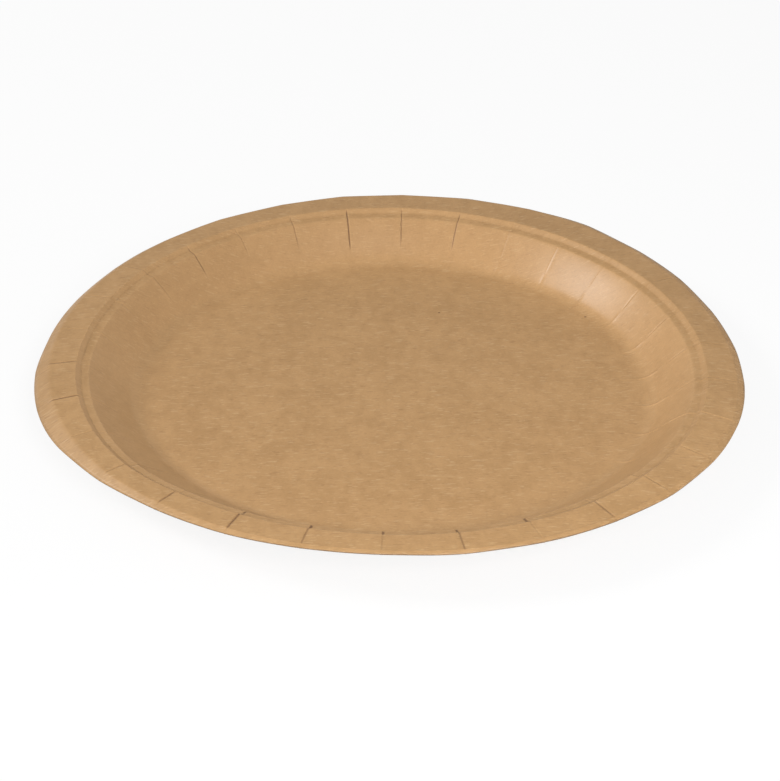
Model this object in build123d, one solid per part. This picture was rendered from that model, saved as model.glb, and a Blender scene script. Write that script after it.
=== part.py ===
from build123d import *
import os
from math import degrees, radians, sin, tan

# A round paper plate, pressed from one flat disc of kraft board. All sizes are in millimetres.
# +Z is up. The origin is the middle of the underside, where the plate rests on a table.
# The section is written once as the corners of its upper face, from the middle to the edge.
# The board's thickness, the bends, the slits and the tucks are all laid off from that line.

# The plate as a whole
plate_diameter = 230.0      # over the rim's edge
rim_height = 15.5           # from the table to the corner at the top of the rim
board_thickness = 0.5

# The section, from the edge inwards
lip_run = 2.6               # the turned-down lip
lip_drop = 1.5
rim_run = 8.4               # the broad face of the rim, nearly level
rim_fall = 0.2
step_run = 1.8              # the short step inside the rim
step_drop = 1.5
ledge_run = 2.5             # the narrow ledge under the step
ledge_fall = 0.6
wall_angle = 41.0           # the sidewall's slope from the table, in degrees

# Bends. The lines along the step and the crest are sharp creases.
base_bend = 8.0             # the radius at the foot of the sidewall, on the upper face
crest_cut = 0.8             # from the corner at the rim's top to each crease of the narrow land there

# The pleats, which take up the board that is over when a flat disc is pressed into a dish
pleat_count = 30
pleat_foot_rise = 3.0       # height of a pleat's lower end over the base
slit_depth = 0.2            # the mouth of the pleat, seen from above
slit_width = 0.6            # at the rim's edge
tuck_height = 0.3           # the folded board, flattened against the underside
tuck_width = 1.9            # at the rim's edge

# How far cutting and joining bodies reach past the faces that they work on
overshoot = 1.0
run_out = 0.04              # how far a pleat's lower end starts outside the face it fades into


def corner_line():
    """The upper face's corners as (radius, height), from the middle to past the edge."""
    crest = (plate_diameter / 2 - lip_run, rim_height)
    rim_root = (crest[0] - rim_run, crest[1] - rim_fall)
    step_foot = (rim_root[0] - step_run, rim_root[1] - step_drop)
    wall_head = (step_foot[0] - ledge_run, step_foot[1] - ledge_fall)
    wall_run = (wall_head[1] - board_thickness) / tan(radians(wall_angle))
    wall_foot = (wall_head[0] - wall_run, board_thickness)
    past_edge = (crest[0] + lip_run + overshoot, crest[1] - lip_drop * (1 + overshoot / lip_run))
    return [(0, board_thickness), wall_foot, wall_head, step_foot, rim_root, crest, past_edge]


def direction(start, end):
    """The unit vector from one (radius, height) point to another."""
    return (Vector(*end) - Vector(*start)).normalized()


def with_crest_land(corners):
    """The corner line of the upper face, with a narrow land in place of its corner at the crest."""
    rim_root, crest, past_edge = corners[-3:]
    land = []
    for neighbour in (rim_root, past_edge):
        crease = Vector(*crest) + direction(crest, neighbour) * crest_cut
        land.append((crease.X, crease.Y))
    return corners[:-2] + land + [past_edge]


def pleat_line(corners):
    """The part of a corner line that a pleat follows, from the pleat's lower end outwards."""
    foot = (corners[1][0] + pleat_foot_rise / tan(radians(wall_angle)), corners[1][1] + pleat_foot_rise)
    return [foot] + corners[2:]


def shifted(points, distance):
    """The line of points moved upwards, square to each of its runs, with its corners mitred."""
    normals = [direction(a, b).rotate(Axis.Z, 90) for a, b in zip(points, points[1:])]
    before = [normals[0]] + normals
    after = normals + [normals[-1]]
    moved = []
    for point, first, second in zip(points, before, after):
        place = Vector(*point) + (first + second) * (distance / (1 + first.dot(second)))
        moved.append((place.X, place.Y))
    return moved


def section_line(points, radii):
    """Lines through the points in the section plane, with an arc where a corner has a radius."""
    spots = [Vector(radius, 0, height) for radius, height in points]
    edges = []
    start = spots[0]
    for a, corner, b, radius in zip(spots, spots[1:], spots[2:], radii):
        back = (a - corner).normalized()
        ahead = (b - corner).normalized()
        half_angle = radians(back.get_angle(ahead)) / 2
        reach = radius / tan(half_angle)
        edges.append(Line(start, corner + back * reach))
        start = corner + ahead * reach
        if radius:
            middle = corner + (back + ahead).normalized() * (radius / sin(half_angle) - radius)
            edges.append(ThreePointArc(corner + back * reach, middle, start))
    edges.append(Line(start, spots[-1]))
    return edges


def band(upper_edges, lower_edges):
    """The face between two open runs of edges, closed by a straight line at each end."""
    inner_end = Line(upper_edges[0] @ 0, lower_edges[0] @ 0)
    outer_end = Line(upper_edges[-1] @ 1, lower_edges[-1] @ 1)
    return make_face(upper_edges + [outer_end] + lower_edges + [inner_end])


def dish():
    """The pressed board without its pleats: a thin wall turned about the axis.

    It is turned on by half a pitch, so that the surfaces' own seam lies between two pleats."""
    upper = with_crest_land(corner_line())
    under = shifted(corner_line(), -board_thickness)
    section = band(
        section_line(upper, [base_bend] + [0] * len(upper)),
        section_line(under, [base_bend + board_thickness] + [0] * len(under)),
    )
    return Rot(Z=180 / pleat_count) * revolve(section, Axis.Z)


def pleat_body(line, face_height, depth, backing, width):
    """A strip that follows the section along one pleat and fades into a face at its foot.

    The strip fills the board's section from the backing to the depth. Both, and the height of
    the face that it fades into, are measured upwards from the upper face. Its sides point at
    the plate's axis, so it narrows towards its foot, and its width is the one at the rim's edge."""
    creases = [0] * len(line)
    foot = shifted(line, face_height + run_out)[0]
    far_side = section_line([foot] + shifted(line, depth)[1:], creases)
    section = band(far_side, section_line(shifted(line, backing), creases))
    angle = degrees(width / (plate_diameter / 2))
    return Rot(Z=-angle / 2) * revolve(section, Axis.Z, angle)


def slit():
    """What is cut from the upper face at one pleat: the narrow mouth between the two folds."""
    line = pleat_line(with_crest_land(corner_line()))
    return pleat_body(line, 0, -slit_depth, overshoot, slit_width)


def tuck():
    """What a pleat adds to the underside: the board that is over, folded and pressed flat."""
    line = pleat_line(corner_line())
    depth = -board_thickness - tuck_height
    return pleat_body(line, -board_thickness, depth, -board_thickness / 2, tuck_width)


def inside_edge():
    """All that lies within the rim's edge, to trim the board, the slits and the tucks together."""
    return Cylinder(plate_diameter / 2, 2 * (rim_height + overshoot))


def plate():
    """The whole plate: the dish with its pleats, trimmed to its edge."""
    around = PolarLocations(0, pleat_count)
    one_tuck = tuck()
    one_slit = slit()
    tucks = [place * one_tuck for place in around]
    slits = [place * one_slit for place in around]
    return (dish() + tucks - slits) & inside_edge()


os.makedirs("parts", exist_ok=True)
export_step(plate(), "parts/plate.step")
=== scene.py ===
# %% [markdown]
# # A pressed kraft paper plate
#
# The real plate is one disc of kraft board, pressed hot between two dies. This script dresses
# the plain CAD plate: it models the same wall again with the small things that pressing and
# handling leave, such as folds that differ from each other, an edge that waves and a rim that
# has warped a little. Then it gives the board its fibres, light and camera.
#
# The CAD model is loaded first, because every size below has to stay inside its box.

# %% Load the CAD frame
import math
import random

import bmesh
import bpy
from mathutils import Matrix, Quaternion, Vector, noise


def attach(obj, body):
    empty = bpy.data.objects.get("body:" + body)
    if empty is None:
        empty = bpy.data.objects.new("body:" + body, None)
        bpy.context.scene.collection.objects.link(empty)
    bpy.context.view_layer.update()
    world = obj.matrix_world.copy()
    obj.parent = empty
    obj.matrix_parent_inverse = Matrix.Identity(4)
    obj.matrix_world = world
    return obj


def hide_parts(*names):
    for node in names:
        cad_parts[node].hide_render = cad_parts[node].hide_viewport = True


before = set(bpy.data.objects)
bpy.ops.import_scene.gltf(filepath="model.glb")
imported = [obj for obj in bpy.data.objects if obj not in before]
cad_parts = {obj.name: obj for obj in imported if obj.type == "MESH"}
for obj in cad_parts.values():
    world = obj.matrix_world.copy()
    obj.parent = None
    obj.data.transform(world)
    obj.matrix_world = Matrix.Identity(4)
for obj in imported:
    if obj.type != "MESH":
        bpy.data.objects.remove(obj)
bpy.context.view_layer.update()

# %% [markdown]
# ## The section
#
# A plate is a turned form, so one half section says nearly everything about it. The section is
# the upper face only, as a line of corners from the middle to the edge. Thickness comes later,
# which keeps the line easy to read and lets the underside follow by itself.

# %% Section sizes, in metres
MM = 0.001
EDGE_RADIUS = 115.0 * MM
RIM_HEIGHT = 15.5 * MM
BOARD = 0.5 * MM
LIP_RUN = 2.6 * MM
LIP_DROP = 1.5 * MM
RIM_RUN = 8.4 * MM
RIM_FALL = 0.2 * MM
STEP_RUN = 1.8 * MM
STEP_DROP = 1.5 * MM
LEDGE_RUN = 2.5 * MM
LEDGE_FALL = 0.6 * MM
WALL_ANGLE = math.radians(41.0)

crest = Vector((EDGE_RADIUS - LIP_RUN, RIM_HEIGHT))
rim_root = crest - Vector((RIM_RUN, RIM_FALL))
step_foot = rim_root - Vector((STEP_RUN, STEP_DROP))
wall_head = step_foot - Vector((LEDGE_RUN, LEDGE_FALL))
wall_foot = Vector((wall_head.x - (wall_head.y - BOARD) / math.tan(WALL_ANGLE), BOARD))
edge = crest + Vector((LIP_RUN, -LIP_DROP))

# Each corner has its own bend radius. Those of the step are small, as a die's edge leaves them.
section_corners = [Vector((0.0, BOARD)), wall_foot, wall_head, step_foot, rim_root, crest, edge]
bend_radii = [8.0 * MM, 1.3 * MM, 0.6 * MM, 0.7 * MM, 1.8 * MM]
print("Base radius before the bend:", round(wall_foot.x / MM, 2), "mm")

# %% [markdown]
# The corners are now rounded and the straight runs divided. A run that will hold folds needs
# many short steps, and the flat base needs few, so each run has its own number of steps.

# %% Round the corners and divide the runs
RUN_STEPS = [7, 13, 3, 3, 8, 3]
BEND_STEPS = [6, 3, 3, 3, 5]


def divided(start, end, steps):
    """Points from start up to, but without, end."""
    return [start.lerp(end, step / steps) for step in range(steps)]


def bend(before, corner, after, radius, steps):
    """Points of the arc that rounds a corner, with both its ends."""
    back = (before - corner).normalized()
    ahead = (after - corner).normalized()
    half_angle = back.angle(ahead) / 2
    centre = corner + (back + ahead).normalized() * (radius / math.sin(half_angle))
    spoke = corner + back * (radius / math.tan(half_angle)) - centre
    turn = math.pi - 2 * half_angle
    if back.cross(ahead) > 0:
        turn = -turn
    return [centre + Matrix.Rotation(turn * step / steps, 2) @ spoke for step in range(steps + 1)]


bends = []
for before, corner, after, radius, steps in zip(
    section_corners, section_corners[1:], section_corners[2:], bend_radii, BEND_STEPS
):
    bends.append(bend(before, corner, after, radius, steps))

section = []
start = section_corners[0]
for arc, steps in zip(bends, RUN_STEPS):
    section += divided(start, arc[0], steps) + arc[:-1]
    start = arc[-1]
section += divided(start, edge, RUN_STEPS[-1]) + [edge]
print("Section points:", len(section))

# %% [markdown]
# ## Turning the section
#
# Spin makes the dish in one step. A layer on the profile's points remembers how far each one
# lies from the middle along the board. Spin copies the layer, so every point of the dish knows
# its place on the flat disc that the plate was pressed from. The fibres need that later.

# %% Spin the section into a dish
PLEATS = 30
COLUMNS = 20 * PLEATS


def face_upwards(mesh):
    """Makes all faces point the same way, and that way up."""
    bmesh.ops.recalc_face_normals(mesh, faces=mesh.faces[:])
    if sum(face.normal.z for face in mesh.faces) < 0:
        bmesh.ops.reverse_faces(mesh, faces=mesh.faces[:])


plate_bm = bmesh.new()
run_layer = plate_bm.verts.layers.float.new("run")
travelled = 0.0
profile = []
for number, point in enumerate(section):
    if number:
        travelled += (point - section[number - 1]).length
    vert = plate_bm.verts.new((point.x, 0.0, point.y))
    vert[run_layer] = travelled
    profile.append(vert)
chain = [plate_bm.edges.new(pair) for pair in zip(profile, profile[1:])]
bmesh.ops.spin(
    plate_bm,
    geom=profile + chain,
    cent=(0.0, 0.0, 0.0),
    axis=(0.0, 0.0, 1.0),
    angle=2 * math.pi,
    steps=COLUMNS,
    use_merge=True,
)
bmesh.ops.remove_doubles(plate_bm, verts=plate_bm.verts[:], dist=0.01 * MM)
face_upwards(plate_bm)
print("Dish:", len(plate_bm.verts), "points,", len(plate_bm.faces), "faces")

# %% [markdown]
# ## Where things are along the board
#
# The shaping below asks one question again and again: how far along the board is this point?
# The marks are the distances of the section's corners, and ease gives a soft ramp between two
# of them.

# %% Marks along the board
marks = [0.0]
for corner_before, corner_after in zip(section_corners, section_corners[1:]):
    marks.append(marks[-1] + (corner_after - corner_before).length)
WALL_FOOT_MARK, WALL_HEAD_MARK, STEP_MARK, RIM_MARK, CREST_MARK, EDGE_MARK = marks[1:]
PLEAT_FOOT_MARK = WALL_FOOT_MARK + 4.0 * MM


def ease(low, high, value):
    """0 below low, 1 above high, and a smooth ramp between them."""
    share = min(max((value - low) / (high - low), 0.0), 1.0)
    return share * share * (3 - 2 * share)


print("Board from the middle to the edge:", round(EDGE_MARK / MM, 1), "mm")

# %% [markdown]
# ## Pleats
#
# A flat disc has more board at its edge than a dish has room for. The press gathers what is
# over in thirty pleats. From above, each is a fine dark slit with one lip that stands a little
# proud, because the board on that side lies over the other. The dark in each slit is painted
# shade. No two are the same: they lean, start higher or lower, and close more or less tightly.
# On this plate the slits are darkest on the far wall and the near rim, and pressed almost shut
# at the back right. On the right they show as pale ridges, where the board was pinched up at the
# foot of the wall and again on the ledge and catches the light, so the painted shade is weak
# there. Random numbers from a fixed seed give each pleat its own character, and the same one
# every time the script runs.
#
# In each row below, right and back say how far the pleat lies towards that side, from -1 to 1.

# %% What makes each pleat its own
PITCH = 2 * math.pi / PLEATS
SLIT_DEPTH = 0.2 * MM
# The width of the painted shade along each slit.
PAINTED_SHADE_WIDTH = 0.36 * MM
SLIT_REACH = 0.2 * MM
FOLD_RISE = 0.13 * MM
FOLD_REACH = 0.6 * MM
RIDGE_MARK = WALL_FOOT_MARK + 2.0 * MM
RIDGE_LENGTH = 4.5 * MM
RIDGE_REACH = 0.42 * MM
RIDGE_RISE = 0.3 * MM
KNUCKLE_LENGTH = 1.2 * MM
LEAN_MOST = math.radians(0.45)
SLIP_LEFT = math.radians(1.0)
TIGHT_AT = math.radians(47.0)
TIGHT_SPREAD = math.radians(22.0)
TIGHTNESS = 0.65
EVENNESS = 0.12
CROWDING = 2.5
PLEAT_RISING = 7.0 * MM


def bump(angle, middle, spread):
    """1 at the middle angle, fading to 0 on both sides. All three are in radians."""
    away = (angle - middle + math.pi) % (2 * math.pi) - math.pi
    return math.exp(-((away / spread) ** 2))


random.seed(11)
pleats = []
for number in range(PLEATS):
    right = math.cos(number * PITCH)
    back = math.sin(number * PITCH)
    on_left = max(-right, 0.0) ** 2
    on_right = max(right, 0.0) ** 2
    tight = TIGHTNESS * bump(number * PITCH, TIGHT_AT, TIGHT_SPREAD)
    pleats.append(
        {
            "lean": random.uniform(-1.0, 1.0) * LEAN_MOST,
            "slip": SLIP_LEFT * on_left,
            "foot": random.uniform(-1.5, 4.0) * MM,
            "wall": random.uniform(0.65, 1.05) * (1 - 0.5 * on_left) * (1 - tight),
            "rim": random.uniform(0.45, 0.95) * (1 - 0.8 * max(back, 0.0)),
            "side": random.choice((-1, 1)),
            "rise": random.uniform(0.4, 1.3) + 0.6 * on_right,
            # How strongly the slit gets painted shade: weak on the right, where the pleats are lit
            # as pale ridges.
            "slit_shade_strength": 1 - 0.8 * on_right,
            "ridge": 0.1 + random.uniform(0.5, 1.0) * on_right,
            "facet": random.uniform(0.05, 0.22),
        }
    )


def crowded(share):
    """Moves evenly spread columns towards the pleat, where the shape changes fastest."""
    away = abs(share) * 2
    moved = EVENNESS * away + (1 - EVENNESS) * away ** CROWDING
    return math.copysign(0.5 * moved, share)


def pleat_swell(pleat, run):
    """How strongly a pleat shows at this distance along the board, from 0 at its foot to 1."""
    foot = PLEAT_FOOT_MARK + pleat["foot"]
    rising = ease(foot, foot + PLEAT_RISING, run)
    past_step = ease(STEP_MARK, RIM_MARK + 1.0 * MM, run)
    at_wall = pleat["wall"] * (1 - past_step)
    at_rim = pleat["rim"] * past_step
    pressed = 1 - 0.6 * ease(CREST_MARK - 1.0 * MM, CREST_MARK + 1.0 * MM, run)
    return rising * (at_wall + at_rim) * pressed


def pleat_height(pleat, across, run):
    """How far a pleat lifts or sinks the upper face, at a distance across its own line."""
    slit = -SLIT_DEPTH * math.exp(-((across / SLIT_REACH) ** 2))
    beside = across - pleat["side"] * FOLD_REACH
    fold = FOLD_RISE * pleat["rise"] * math.exp(-((beside / FOLD_REACH) ** 2))
    pinch = math.exp(-(((run - RIDGE_MARK) / RIDGE_LENGTH) ** 2))
    pinch += math.exp(-(((run - STEP_MARK) / KNUCKLE_LENGTH) ** 2))
    ridge = RIDGE_RISE * pleat["ridge"] * pinch * math.exp(-((across / RIDGE_REACH) ** 2))
    return (slit + fold) * pleat_swell(pleat, run) + ridge


most_lean = max(abs(pleat["lean"]) for pleat in pleats)
print("Pleats:", len(pleats), "leaning by up to", round(math.degrees(most_lean), 2), "degrees")

# %% [markdown]
# ## Shaping the board
#
# Between two pleats the board would rather stay flat than follow the circle, so the rim has
# thirty faint facets and its edge is a little many-sided. Damp air then warps the rim: two
# opposite sides have sunk. The lip was only folded over by the press, so it waves most. The
# disc also lay a little off the middle of the die, so the ledge and the step aren't quite
# centred, and the edge is drawn out at the back right.

# %% How much the board is bent, and where
WARP = 1.5 * MM
WARP_TOP = math.radians(77.0)
LIP_WAVE = 0.4 * MM
LIP_LEAD = 0.6 * MM
LIP_MOST = 1.2
WALL_WAVE = 0.28 * MM
BASE_WAVE = 0.12 * MM
BASE_WAVES_A_METRE = 24.0
FAR_FACET = 0.6
SHIFT_ALL = -0.85 * MM
SHIFT_RIGHT = -1.0 * MM
SHIFT_BACK = -1.2 * MM
# Each row gives the middle and the spread in degrees, and the size.
EDGE_BUMPS = ((52.0, 19.0, 2.1 * MM), (10.0, 22.0, -1.4 * MM))
SHIFT_BUMPS = ((216.0, 16.0, 1.4 * MM), (165.0, 20.0, -1.0 * MM))
FLARE_OUT = 2.3 * MM
FLARE_DOWN = 1.0 * MM
FLARE_AT = math.radians(193.0)
FLARE_SPREAD = math.radians(23.0)
CURL_IN = 1.2 * MM
CURL_UP = 1.05 * MM
FLAT_RIGHT = 0.8


def bumps(angle, rows):
    """Sum of bumps, each given by its middle and spread in degrees and its size."""
    total = 0.0
    for middle, spread, size in rows:
        total += size * bump(angle, math.radians(middle), math.radians(spread))
    return total


def rim_shift(angle):
    """How far the step and the ledge lie outside their nominal circle."""
    level = SHIFT_ALL + SHIFT_RIGHT * math.cos(angle) + SHIFT_BACK * math.sin(angle)
    return level + bumps(angle, SHIFT_BUMPS)


def ripple_at(radius, angle):
    """Height of the base's unevenness."""
    place = Vector((radius * math.cos(angle), radius * math.sin(angle), 0.0)) * BASE_WAVES_A_METRE
    return BASE_WAVE * (0.5 + 0.5 * noise.noise(place))


def around(angle, scale, seed):
    """Smooth noise from about -1 to 1 that closes on itself after one turn."""
    return noise.noise(Vector((math.cos(angle) * scale, math.sin(angle) * scale, seed)))


def rubbing_and_painted_light(angle, run):
    """How much the die smoothed the board as it slid, which also sets the painted light that makes
    the wall and the step paler, with a painted highlight on the step. The ledge lay out of its
    reach.
    """
    on_wall = ease(WALL_FOOT_MARK - 7.0 * MM, WALL_FOOT_MARK + 3.0 * MM, run)
    on_wall *= 1 - ease(WALL_HEAD_MARK - 0.5 * MM, WALL_HEAD_MARK + 0.5 * MM, run)
    on_step = ease(STEP_MARK - 0.3 * MM, STEP_MARK + 0.5 * MM, run)
    on_step *= 1 - ease(RIM_MARK - 0.6 * MM, RIM_MARK + 0.2 * MM, run)
    on_step *= 1 - 0.5 * max(math.cos(angle), 0.0) ** 2
    return (on_wall + on_step) * (0.9 + 0.35 * around(angle, 6.0, 31.0))


print("The rim sags by up to", round(2 * WARP / MM, 1), "mm")

# %% [markdown]
# Now each point gets its new place, effect by effect, in terms of its angle, its radius and its
# distance along the board. Two layers keep what the material needs to know: where the slits get
# painted shade, and where the board was rubbed smoother and gets painted light.

# %% Shape every point
NEARLY_NOTHING = 0.001 * MM
painted_shade_mask = plate_bm.verts.layers.float.new("pleat")
rub_and_painted_light_mask = plate_bm.verts.layers.float.new("rubbed_and_painted_light")
for vert in plate_bm.verts:
    run = vert[run_layer]
    radius = math.hypot(vert.co.x, vert.co.y)
    height = vert.co.z
    if radius < NEARLY_NOTHING:
        vert.co.z = BOARD + ripple_at(0.0, 0.0)
        continue
    angle = math.atan2(vert.co.y, vert.co.x)
    number = round(angle / PITCH)
    pleat = pleats[number % PLEATS]
    share = crowded(angle / PITCH - number)
    across = share * PITCH * radius
    # The die smoothed the board here; the same mask paints the wall and the step paler, as painted
    # light.
    vert[rub_and_painted_light_mask] = rubbing_and_painted_light(angle, run)

    # The pleat's own line leans, and the board beside it follows less and less.
    lean = pleat["slip"] + pleat["lean"] * ease(PLEAT_FOOT_MARK, EDGE_MARK, run)
    angle = (number + share) * PITCH + lean * (1 - ease(0.0, 0.5, abs(share)))
    lift = pleat_height(pleat, across, run)
    front = max(-math.sin(angle), 0.0)
    # The slit's painted shade: wider towards the front, and weak where the pleats are lit.
    width = PAINTED_SHADE_WIDTH * (1 + 0.7 * front)
    dark = pleat_swell(pleat, run) * pleat["slit_shade_strength"]
    vert[painted_shade_mask] = dark * math.exp(-((across / width) ** 2))

    # The flat facets, from nothing on the wall to full depth at the crest, most at the back.
    inwards = 1 - math.cos(PITCH / 2) / math.cos((0.5 - abs(share)) * PITCH)
    panel = math.floor(number + share)
    facet = pleats[panel % PLEATS]["facet"] + FAR_FACET * max(math.sin(angle), 0.0) ** 3
    radius -= radius * inwards * facet * ease(WALL_HEAD_MARK - 8.0 * MM, CREST_MARK, run)

    # The waves of the wall, the rim and the lip, and the unevenness of the base.
    wall = ease(WALL_FOOT_MARK, RIM_MARK, run)
    lift += WALL_WAVE * wall * around(angle, 3.1, 4.0)
    lip = max(run - CREST_MARK + LIP_LEAD, 0.0) / (EDGE_MARK - CREST_MARK)
    lift += LIP_WAVE * lip * around(angle, 5.0, 9.0)
    radius += LIP_WAVE * lip * around(angle, 4.2, 17.0)
    flat = 1 - ease(WALL_FOOT_MARK - 16.0 * MM, WALL_FOOT_MARK - 4.0 * MM, run)
    lift += flat * ripple_at(radius, angle)

    # The ledge and the step lie off the middle, and the edge isn't quite round.
    drawn = ease(WALL_FOOT_MARK, WALL_HEAD_MARK, run)
    drawn *= 1 - ease(RIM_MARK, CREST_MARK - 1.0 * MM, run)
    radius += rim_shift(angle) * drawn
    radius += bumps(angle, EDGE_BUMPS) * ease(RIM_MARK, CREST_MARK, run)

    # The lip is bent open on the left, curls in along the front and stands flat on the right.
    lip = min(lip, LIP_MOST)
    flare = lip * bump(angle, FLARE_AT, FLARE_SPREAD)
    radius += FLARE_OUT * flare
    lift -= FLARE_DOWN * flare
    radius -= CURL_IN * lip * front ** 2
    lift += CURL_UP * lip * (front ** 2 + FLAT_RIGHT * max(math.cos(angle), 0.0) ** 2)

    # The warp of the whole rim.
    out = max(radius - wall_foot.x, 0.0) / (EDGE_RADIUS - wall_foot.x)
    sag = WARP * out ** 1.4 * (1 - math.cos(2 * (angle - WARP_TOP)))
    vert.co = (radius * math.cos(angle), radius * math.sin(angle), height + lift - sag)

face_upwards(plate_bm)
heights = [vert.co.z / MM for vert in plate_bm.verts]
print("Lowest and highest point of the upper face, in mm:")
print(round(min(heights), 2), round(max(heights), 2))

# %% [markdown]
# ## The flat disc as texture space
#
# Fibres lie in the board before it is pressed, all much the same way, and are bent with it. So
# the texture is painted on the flat disc: each corner of a face takes its place from the
# distance along the board and the angle, in metres. The pattern then runs over the fold of the
# rim without stretching.

# %% Lay the flat disc out as a UV map
uv_layer = plate_bm.loops.layers.uv.new("blank")
for face in plate_bm.faces:
    for loop in face.loops:
        run = loop.vert[run_layer]
        angle = math.atan2(loop.vert.co.y, loop.vert.co.x)
        loop[uv_layer].uv = (run * math.cos(angle), run * math.sin(angle))

plate_mesh = bpy.data.meshes.new("plate board")
plate_bm.to_mesh(plate_mesh)
plate_bm.free()
for polygon in plate_mesh.polygons:
    polygon.use_smooth = True
plate = bpy.data.objects.new("pressed_plate", plate_mesh)
bpy.context.collection.objects.link(plate)

# %% [markdown]
# Board has one thickness everywhere, so a Solidify modifier gives it. It grows downwards from
# the upper face, and marks the cut edge with a second material, which is dimmed: painted shade
# along the edge.

# %% Give the board its thickness
thick = plate.modifiers.new("board thickness", "SOLIDIFY")
thick.thickness = BOARD
thick.offset = -1.0
thick.use_rim = True
thick.material_offset_rim = 1
print("Plate faces before thickness:", len(plate_mesh.polygons))

# %% [markdown]
# ## Kraft board
#
# Kraft board is brown because its fibres are unbleached wood. Near to, it isn't one brown:
# long fibres lie on the surface as light and dark flecks, mostly along the way the paper
# machine ran, over soft clouds where the pulp was thicker. Each effect is its own node group,
# so that it can be looked at alone and used for other papers.

# %% Small helpers for node trees
def new_node(tree, kind, **settings):
    """Adds a node and sets its properties."""
    node = tree.nodes.new(kind)
    for name, value in settings.items():
        setattr(node, name, value)
    return node


def wire(tree, source, target):
    """Joins two sockets."""
    tree.links.new(source, target)


def maths(tree, operation, first, second):
    """A maths node with two inputs, each a socket or a number."""
    node = new_node(tree, "ShaderNodeMath", operation=operation)
    for socket, value in zip(node.inputs, (first, second)):
        if isinstance(value, (int, float)):
            socket.default_value = value
        else:
            wire(tree, value, socket)
    return node.outputs[0]


def ramp_between(tree, value, low, high):
    """0 below low and 1 above high, with a smooth ramp between."""
    node = new_node(tree, "ShaderNodeMapRange", interpolation_type="SMOOTHSTEP")
    wire(tree, value, node.inputs["Value"])
    node.inputs["From Min"].default_value = low
    node.inputs["From Max"].default_value = high
    return node.outputs["Result"]


def group_of(name, outputs):
    """A node group with a vector going in and the named values coming out."""
    tree = bpy.data.node_groups.new(name, "ShaderNodeTree")
    tree.interface.new_socket("Vector", in_out="INPUT", socket_type="NodeSocketVector")
    for output in outputs:
        tree.interface.new_socket(output, in_out="OUTPUT", socket_type="NodeSocketFloat")
    return tree, new_node(tree, "NodeGroupInput"), new_node(tree, "NodeGroupOutput")


def noise_of(tree, vector, scale, detail, turn=0.0, stretch=(1.0, 1.0), shift=0.0):
    """Noise in metres, which may be turned and stretched."""
    place = new_node(tree, "ShaderNodeMapping", vector_type="POINT")
    place.inputs["Location"].default_value = (shift, shift * 0.7, 0.0)
    place.inputs["Rotation"].default_value = (0.0, 0.0, turn)
    place.inputs["Scale"].default_value = (stretch[0], stretch[1], 1.0)
    wire(tree, vector, place.inputs["Vector"])
    cloud = new_node(tree, "ShaderNodeTexNoise", noise_dimensions="2D")
    cloud.inputs["Scale"].default_value = scale
    cloud.inputs["Detail"].default_value = detail
    cloud.inputs["Roughness"].default_value = 0.55
    wire(tree, place.outputs["Vector"], cloud.inputs["Vector"])
    return cloud.outputs["Fac"]


# %% [markdown]
# A fibre fleck is noise drawn out into streaks, of which only the highest peaks are kept. Three
# layers, turned a little against each other, stop the flecks from looking combed.

# %% Node group: fibre flecks
LIGHT_PEAKS = (0.68, 0.75)
DARK_PEAKS = (0.69, 0.76)
STREAK_DETAIL = 1.5
# Each row gives the turn, the waves a metre, the thinness and the shift of one layer.
STREAK_LAYERS = (
    (math.radians(2.0), 210.0, 6.5, 0.0),
    (math.radians(17.0), 180.0, 6.0, 3.1),
    (math.radians(-14.0), 240.0, 5.5, 7.7),
)


def fibre_group():
    """Light and dark flecks as two masks."""
    tree, entry, leave = group_of("Fibre flecks", ("Light", "Dark"))
    vector = entry.outputs["Vector"]
    light = 0.0
    dark = 0.0
    for turn, scale, thin, shift in STREAK_LAYERS:
        streak = noise_of(tree, vector, scale, STREAK_DETAIL, turn, (1.0, thin), shift)
        light = maths(tree, "MAXIMUM", ramp_between(tree, streak, *LIGHT_PEAKS), light)
        shade = noise_of(tree, vector, scale * 1.15, STREAK_DETAIL, turn, (1.0, thin), shift + 1.7)
        dark = maths(tree, "MAXIMUM", ramp_between(tree, shade, *DARK_PEAKS), dark)
    wire(tree, light, leave.inputs["Light"])
    wire(tree, dark, leave.inputs["Dark"])
    return tree


# %% [markdown]
# The clouds are slow noise at two sizes. The grain is the finest thing the camera can still
# see, and it keeps the brown from looking like plastic. Two bark specks lie at the back.

# %% Node group: clouds, grain and specks
# The scales are in waves a metre.
WIDE_CLOUDS = 60.0
CLOSE_CLOUDS = 240.0
WIDE_SHARE = 0.45
FINE_GRAIN = 1300.0

# Each row gives the speck's place on the flat disc and its radius.
BARK_SPECKS = ((19.8 * MM, 47.8 * MM, 0.5 * MM), (71.2 * MM, 42.5 * MM, 0.6 * MM))


def pulp_group():
    """Slow clouds, fine grain and bark specks."""
    tree, entry, leave = group_of("Pulp", ("Clouds", "Grain", "Specks"))
    vector = entry.outputs["Vector"]
    wide = noise_of(tree, vector, WIDE_CLOUDS, 3.0, 0.3, (1.0, 0.8), 2.0)
    close = noise_of(tree, vector, CLOSE_CLOUDS, 3.0, 0.1, (1.0, 0.8), 5.0)
    wide_part = maths(tree, "MULTIPLY", wide, WIDE_SHARE)
    close_part = maths(tree, "MULTIPLY", close, 1 - WIDE_SHARE)
    clouds = maths(tree, "ADD", wide_part, close_part)
    grain = noise_of(tree, vector, FINE_GRAIN, 2.0, 0.0, (1.0, 0.9), 1.0)
    specks = 0.0
    for x, y, size in BARK_SPECKS:
        away = new_node(tree, "ShaderNodeVectorMath", operation="DISTANCE")
        wire(tree, vector, away.inputs[0])
        away.inputs[1].default_value = (x, y, 0.0)
        outside = ramp_between(tree, away.outputs["Value"], 0.5 * size, size)
        speck = maths(tree, "SUBTRACT", 1.0, outside)
        specks = maths(tree, "MAXIMUM", speck, specks)
    wire(tree, clouds, leave.inputs["Clouds"])
    wire(tree, grain, leave.inputs["Grain"])
    wire(tree, specks, leave.inputs["Specks"])
    return tree
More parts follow.
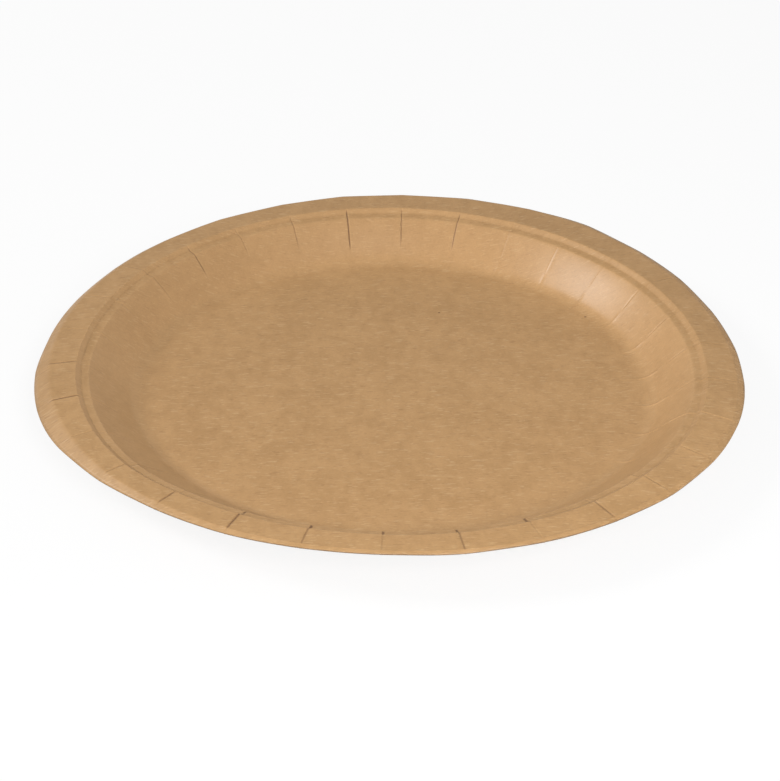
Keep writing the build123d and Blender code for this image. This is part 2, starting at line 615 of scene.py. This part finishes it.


# %% [markdown]
# The material mixes these masks over one brown. Pleats get painted shade in the slit. The wall
# and the step slid along the die as it closed, which rubbed them a little smoother. They are
# also painted a little paler: painted light that lifts the wall, with a painted highlight on the
# step. The bump is weak, since the board was pressed smooth.

# %% The kraft board material
KRAFT = (0.458, 0.268, 0.116, 1.0)
KRAFT_DEEP = (0.402, 0.231, 0.096, 1.0)
FLECK_LIGHT = (0.56, 0.37, 0.195, 1.0)
FLECK_DARK = (0.27, 0.14, 0.056, 1.0)
# The bark specks' own dark brown, which also paints the shade in the slits.
SPECK_AND_SLIT_SHADE_BROWN = (0.13, 0.062, 0.026, 1.0)
# The pale brown of the painted light on the wall and the step.
PAINTED_LIGHT_BROWN = (0.58, 0.345, 0.158, 1.0)
LIGHT_SHARE = 0.5
DARK_SHARE = 0.4
SPECK_SHARE = 0.85
PAINTED_LIGHT_AMOUNT = 0.4
CLOUD_RANGE = (0.32, 0.68)
SLIT_RANGE = (0.3, 0.95)
GRAIN_CONTRAST = 0.16
PLAIN_ROUGHNESS = 0.48
RUBBED_ROUGHNESS = 0.38
SPECULAR = 0.45
FLECK_HEIGHT = 0.8
RELIEF_STRENGTH = 0.2
RELIEF_DEPTH = 0.04 * MM


def blend_colours(tree, share, first, second):
    """Mixes two colours, each a socket or a constant, by a share from 0 to 1."""
    node = new_node(tree, "ShaderNodeMix", data_type="RGBA")
    wire(tree, share, node.inputs["Factor"])
    for socket, value in ((node.inputs[6], first), (node.inputs[7], second)):
        if isinstance(value, tuple):
            socket.default_value = value
        else:
            wire(tree, value, socket)
    return node.outputs[2]


def layer_value(tree, name):
    """The value that the mesh keeps under this name."""
    kept = new_node(tree, "ShaderNodeAttribute", attribute_name=name, attribute_type="GEOMETRY")
    return kept.outputs["Fac"]


def multiply_add(tree, value, factor, addend):
    """Value times factor, plus addend."""
    result = maths(tree, "MULTIPLY_ADD", value, factor)
    result.node.inputs[2].default_value = addend
    return result


def board_colour(tree, flecks, cloth, slit_shade_share, paleness):
    """The masks, mixed over one brown from the slow clouds to the fine grain."""
    clouds = ramp_between(tree, cloth.outputs["Clouds"], *CLOUD_RANGE)
    colour = blend_colours(tree, clouds, KRAFT_DEEP, KRAFT)
    slits = ramp_between(tree, layer_value(tree, "pleat"), *SLIT_RANGE)
    for mask, share, tint in (
        (flecks.outputs["Light"], LIGHT_SHARE, FLECK_LIGHT),
        (flecks.outputs["Dark"], DARK_SHARE, FLECK_DARK),
        (cloth.outputs["Specks"], SPECK_SHARE, SPECK_AND_SLIT_SHADE_BROWN),
        # Painted light on the wall and the step, then painted shade in the slits.
        (layer_value(tree, "rubbed_and_painted_light"), PAINTED_LIGHT_AMOUNT, PAINTED_LIGHT_BROWN),
        (slits, slit_shade_share, SPECK_AND_SLIT_SHADE_BROWN),
    ):
        colour = blend_colours(tree, maths(tree, "MULTIPLY", mask, share), colour, tint)
    grain = multiply_add(tree, cloth.outputs["Grain"], GRAIN_CONTRAST, paleness)
    shade = new_node(tree, "ShaderNodeMix", data_type="RGBA", blend_type="MULTIPLY")
    shade.inputs["Factor"].default_value = 1.0
    wire(tree, colour, shade.inputs[6])
    wire(tree, grain, shade.inputs[7])
    return shade.outputs[2]


def kraft_material(name, fibres, pulp, slit_shade_share, paleness):
    """Kraft board, with the slits in painted shade as strong as the given share. Paleness dims all
    its colours.
    """
    material = bpy.data.materials.new(name)
    material.use_nodes = True
    tree = material.node_tree
    shader = tree.nodes["Principled BSDF"]
    place = new_node(tree, "ShaderNodeUVMap", uv_map="blank")
    flecks = new_node(tree, "ShaderNodeGroup", node_tree=fibres)
    cloth = new_node(tree, "ShaderNodeGroup", node_tree=pulp)
    wire(tree, place.outputs["UV"], flecks.inputs["Vector"])
    wire(tree, place.outputs["UV"], cloth.inputs["Vector"])
    colour = board_colour(tree, flecks, cloth, slit_shade_share, paleness)
    wire(tree, colour, shader.inputs["Base Color"])

    smoothing = RUBBED_ROUGHNESS - PLAIN_ROUGHNESS
    roughness = multiply_add(tree, layer_value(tree, "rubbed_and_painted_light"), smoothing, PLAIN_ROUGHNESS)
    wire(tree, roughness, shader.inputs["Roughness"])
    shader.inputs["Specular IOR Level"].default_value = SPECULAR

    raised = maths(tree, "MULTIPLY", flecks.outputs["Light"], FLECK_HEIGHT)
    height = maths(tree, "ADD", cloth.outputs["Grain"], raised)
    relief = new_node(tree, "ShaderNodeBump")
    relief.inputs["Strength"].default_value = RELIEF_STRENGTH
    relief.inputs["Distance"].default_value = RELIEF_DEPTH
    wire(tree, height, relief.inputs["Height"])
    wire(tree, relief.outputs["Normal"], shader.inputs["Normal"])
    return material


fibres = fibre_group()
pulp = pulp_group()
board = kraft_material("kraft board", fibres, pulp, 0.8, 0.92)
# The cut edge is dimmed to half, as painted shade along the edge.
edge_in_painted_shade = kraft_material("kraft board, cut edge", fibres, pulp, 0.3, 0.5)
plate_mesh.materials.append(board)
plate_mesh.materials.append(edge_in_painted_shade)
print("Materials:", [material.name for material in plate_mesh.materials])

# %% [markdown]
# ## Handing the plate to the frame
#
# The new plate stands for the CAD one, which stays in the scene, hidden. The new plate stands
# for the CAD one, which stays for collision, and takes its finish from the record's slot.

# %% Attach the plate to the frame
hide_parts("plate")
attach(plate, "root")
print("Plate stands for the CAD node and rides on the root")

# %% [markdown]
# ## Floor, light and camera
#
# The photo is white all round, with soft light from the left and front. The floor
# takes the plate's shadow. A share of plain white, which only the camera sees, brings it up to
# the white of a photo studio without putting more light on the plate.

# %% Floor
FLOOR_SIZE = 6.0
FLOOR_GLOW = 0.88
FLOOR_GREY = (0.82, 0.82, 0.82, 1.0)

floor_bm = bmesh.new()
bmesh.ops.create_grid(floor_bm, x_segments=1, y_segments=1, size=FLOOR_SIZE / 2)
floor_mesh = bpy.data.meshes.new("floor")
floor_bm.to_mesh(floor_mesh)
floor_bm.free()
floor = bpy.data.objects.new("floor", floor_mesh)
bpy.context.collection.objects.link(floor)

floor_material = bpy.data.materials.new("white studio floor")
floor_material.use_nodes = True
floor_tree = floor_material.node_tree
floor_shader = floor_tree.nodes["Principled BSDF"]
floor_shader.inputs["Base Color"].default_value = FLOOR_GREY
floor_shader.inputs["Roughness"].default_value = 0.9
glow = new_node(floor_tree, "ShaderNodeEmission")
seen = new_node(floor_tree, "ShaderNodeLightPath")
mixed = new_node(floor_tree, "ShaderNodeMixShader")
share = maths(floor_tree, "MULTIPLY", seen.outputs["Is Camera Ray"], FLOOR_GLOW)
wire(floor_tree, share, mixed.inputs["Fac"])
wire(floor_tree, floor_shader.outputs["BSDF"], mixed.inputs[1])
wire(floor_tree, glow.outputs["Emission"], mixed.inputs[2])
wire(floor_tree, mixed.outputs["Shader"], floor_tree.nodes["Material Output"].inputs["Surface"])
floor_mesh.materials.append(floor_material)
print("Floor:", FLOOR_SIZE, "m across")

# %% [markdown]
# A pale sky gives a third of the light. A low lamp close to the front lights the far wall and
# fades towards the back. One on the left puts a sheen on the far right wall and leaves the left
# wall in shade, and a weak one on the right keeps the lip there from going dull.

# %% Lights
def area_lamp(name, place, size, power):
    """A square lamp that points at the plate."""
    lamp = bpy.data.lights.new(name, "AREA")
    lamp.size = size
    lamp.energy = power
    holder = bpy.data.objects.new(name, lamp)
    holder.location = place
    holder.rotation_mode = "QUATERNION"
    holder.rotation_quaternion = (-Vector(place)).to_track_quat("-Z", "Y")
    bpy.context.collection.objects.link(holder)
    return holder


area_lamp("key", (0.09, -0.505, 0.35), 0.22, 2.7)
area_lamp("left", (-1.453, 0.255, 1.033), 0.57, 19.0)
area_lamp("right", (1.09, -0.29, 0.41), 0.5, 1.3)

SKY_LIGHT = 0.37
world = bpy.data.worlds.new("studio")
world.use_nodes = True
sky_tree = world.node_tree
sky = sky_tree.nodes["Background"]
sky.inputs["Color"].default_value = (1.0, 1.0, 1.0, 1.0)
sky_seen = new_node(sky_tree, "ShaderNodeLightPath")
seen_by_camera = sky_seen.outputs["Is Camera Ray"]
sky_strength = multiply_add(sky_tree, seen_by_camera, 1.0 - SKY_LIGHT, SKY_LIGHT)
wire(sky_tree, sky_strength, sky.inputs["Strength"])
bpy.context.scene.world = world
bpy.context.scene.view_settings.view_transform = "Standard"
print("Lamps:", [lamp.name for lamp in bpy.data.lights])

# %% [markdown]
# The camera was worked out from the photo. The rim's outline and the places of the pleats give
# its distance, its height and its focal length. The photo is 780 pixels wide, which together
# with the sensor's width turns pixels into the lens's millimetres.

# %% Camera
PHOTO_WIDTH_PX = 780
FOCAL_PX = 1953.3
SENSOR_MM = 36.0
DISTANCE = 625.0 * MM
ELEVATION = math.radians(31.89)
ROLL = math.radians(1.01)
AIM_OFF = Vector((-1.1 * MM, -22.6 * MM, 0.0))
PLEAT_TURN = math.radians(-4.73)
AIM_HEIGHT = RIM_HEIGHT - LIP_DROP - WARP

look = Vector((0.0, math.cos(ELEVATION), -math.sin(ELEVATION)))
turned = Matrix.Rotation(PLEAT_TURN, 3, "Z")
aim = turned @ AIM_OFF + Vector((0.0, 0.0, AIM_HEIGHT))
look = turned @ look
lens = bpy.data.cameras.new("photo camera")
lens.sensor_width = SENSOR_MM
lens.lens = SENSOR_MM * FOCAL_PX / PHOTO_WIDTH_PX
lens.clip_start = 0.01
camera = bpy.data.objects.new("photo camera", lens)
camera.location = aim - look * DISTANCE
camera.rotation_mode = "QUATERNION"
camera.rotation_quaternion = look.to_track_quat("-Z", "Y") @ Quaternion((0.0, 0.0, 1.0), ROLL)
bpy.context.collection.objects.link(camera)
bpy.context.scene.camera = camera
print("Lens:", round(lens.lens, 1), "mm")
